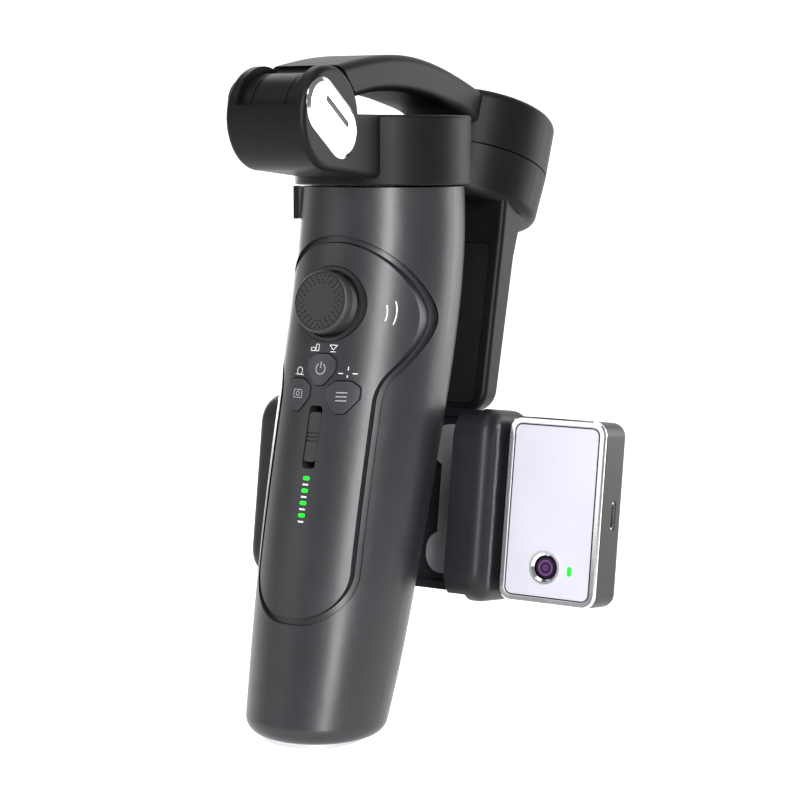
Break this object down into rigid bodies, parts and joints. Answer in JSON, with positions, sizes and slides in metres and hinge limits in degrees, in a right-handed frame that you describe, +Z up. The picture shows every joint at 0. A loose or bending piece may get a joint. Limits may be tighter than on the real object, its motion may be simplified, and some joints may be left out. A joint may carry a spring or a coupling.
{
  "type": "camera gimbal",
  "caption": "Folding handheld three-axis phone gimbal, stored folded, with a clip-on tracking camera on its phone clamp.",
  "frame": {"origin": "centre of the tripod thread at the lowest face of the foot", "axes": "+Z up along the pan axis, -Y towards the joystick side, +X to the right of someone facing the joystick"},
  "size_m": [0.1008, 0.1276, 0.1737],
  "materials": {
    "grip_plastic": "satin soft-touch",
    "panel_plastic": "satin",
    "stick_rubber": "matte",
    "bezel_plastic": "satin",
    "head_plastic": "satin",
    "clamp_plastic": "satin",
    "pad_rubber": "matte",
    "module_plastic": "satin",
    "chrome": "polished",
    "white_face": "satin",
    "lens": "coated",
    "lamp_green": "lit",
    "steel": "machined",
    "copper": "enamelled wire",
    "board": "solder mask",
    "cell_wrap": "shrink wrap"
  },
  "bodies": {
    "grip": {"front_shell": "grip_plastic", "rear_shell": "grip_plastic", "control_panel": "panel_plastic", "status_lamps": "lamp_green", "joystick_bezel": "bezel_plastic", "joystick_boot": "stick_rubber", "joystick_frame": "grip_plastic", "base_foot": "steel", "foot_screws": "steel", "battery_cell": "cell_wrap", "battery_cradle": "grip_plastic", "control_board": "board", "usb_port": "steel", "top_plate": "grip_plastic", "pan_bearing": "steel", "pan_stator": "copper"},
    "pan": {"pan_head": "head_plastic", "pan_rotor": "steel", "hinge_badge": "chrome", "hinge_cap": "head_plastic", "hinge_pin": "steel"},
    "arch": {"arch_arm": "head_plastic", "roll_stator": "copper", "roll_bearing": "steel"},
    "arm": {"roll_arm": "head_plastic", "roll_rotor": "steel", "arm_cover": "head_plastic", "tilt_stator": "copper", "tilt_cover": "head_plastic", "tilt_bearings": "steel"},
    "clamp": {"clamp_frame": "clamp_plastic", "tilt_shaft": "steel", "tilt_rotor": "steel", "jaw_spring": "steel", "fixed_jaw_pad": "pad_rubber", "plate_pads": "pad_rubber", "dock_plate": "clamp_plastic"},
    "jaw": {"moving_jaw": "clamp_plastic", "jaw_rods": "steel", "moving_jaw_pad": "pad_rubber"},
    "camera": {"module_housing": "module_plastic", "module_magnets": "steel", "module_port": "steel", "module_bezel": "chrome", "module_face": "white_face", "lens_ring": "chrome", "lens_glass": "lens", "camera_sensor": "board", "module_lamp": "lamp_green", "module_board": "board"},
    "joystick_yoke": {"joystick_yoke": "bezel_plastic"},
    "joystick": {"joystick_stem": "steel", "joystick_cap": "stick_rubber"},
    "power_button": {"power_button": "panel_plastic"},
    "photo_button": {"photo_button": "panel_plastic"},
    "mode_button": {"mode_button": "panel_plastic"},
    "side_button": {"side_button": "grip_plastic"},
    "zoom_slider": {"zoom_slider": "panel_plastic"},
    "fold_latch": {"fold_latch": "head_plastic"}
  },
  "joints": [
    {"name": "pan", "type": "hinge", "parent": "grip", "child": "pan", "pos_m": [0, 0.0343, 0.14], "axis": [0, 0, 1], "range_deg": [-10, 10]},
    {"name": "fold", "type": "hinge", "parent": "pan", "child": "arch", "pos_m": [0, -0.0081, 0.1572], "axis": [1, 0, 0], "range_deg": [0, 88]},
    {"name": "roll", "type": "hinge", "parent": "arch", "child": "arm", "pos_m": [0, 0.0817, 0.1449], "axis": [0, -0.3584, -0.9336], "range_deg": [-7, 7]},
    {"name": "tilt", "type": "hinge", "parent": "arm", "child": "clamp", "pos_m": [0, 0.0678, 0.06], "axis": [1, 0, 0], "range_deg": [-5, 8]},
    {"name": "jaw_slide", "type": "slide", "parent": "clamp", "child": "jaw", "axis": [-1, 0, 0], "range_m": [0, 0.026]},
    {"name": "camera_pull", "type": "slide", "parent": "clamp", "child": "camera", "axis": [1, 0, 0], "range_m": [0, 0.03]},
    {"name": "stick_updown", "type": "hinge", "parent": "grip", "child": "joystick_yoke", "pos_m": [0, 0.01546, 0.10903], "axis": [1, 0, 0], "range_deg": [-8, 8], "stiffness_Nm_per_rad": 0.02},
    {"name": "stick_sideways", "type": "hinge", "parent": "joystick_yoke", "child": "joystick", "pos_m": [0, 0.01546, 0.10903], "axis": [0, 0.2098, 0.9778], "range_deg": [-8, 8], "stiffness_Nm_per_rad": 0.02},
    {"name": "power_press", "type": "slide", "parent": "grip", "child": "power_button", "axis": [0, 0.965, -0.2621], "range_m": [0, 0.0006], "stiffness_N_per_m": 400},
    {"name": "photo_press", "type": "slide", "parent": "grip", "child": "photo_button", "axis": [0, 0.9684, -0.2496], "range_m": [0, 0.0006], "stiffness_N_per_m": 400},
    {"name": "mode_press", "type": "slide", "parent": "grip", "child": "mode_button", "axis": [0, 0.9684, -0.2496], "range_m": [0, 0.0006], "stiffness_N_per_m": 400},
    {"name": "side_press", "type": "slide", "parent": "grip", "child": "side_button", "axis": [1, 0, 0], "range_m": [0, 0.0006], "stiffness_N_per_m": 400},
    {"name": "zoom_slide", "type": "slide", "parent": "grip", "child": "zoom_slider", "axis": [0, 0.2496, 0.9684], "range_m": [-0.0015, 0.0015], "stiffness_N_per_m": 50},
    {"name": "latch_slide", "type": "slide", "parent": "grip", "child": "fold_latch", "axis": [0, 0, -1], "range_m": [0, 0.002]}
  ]
}
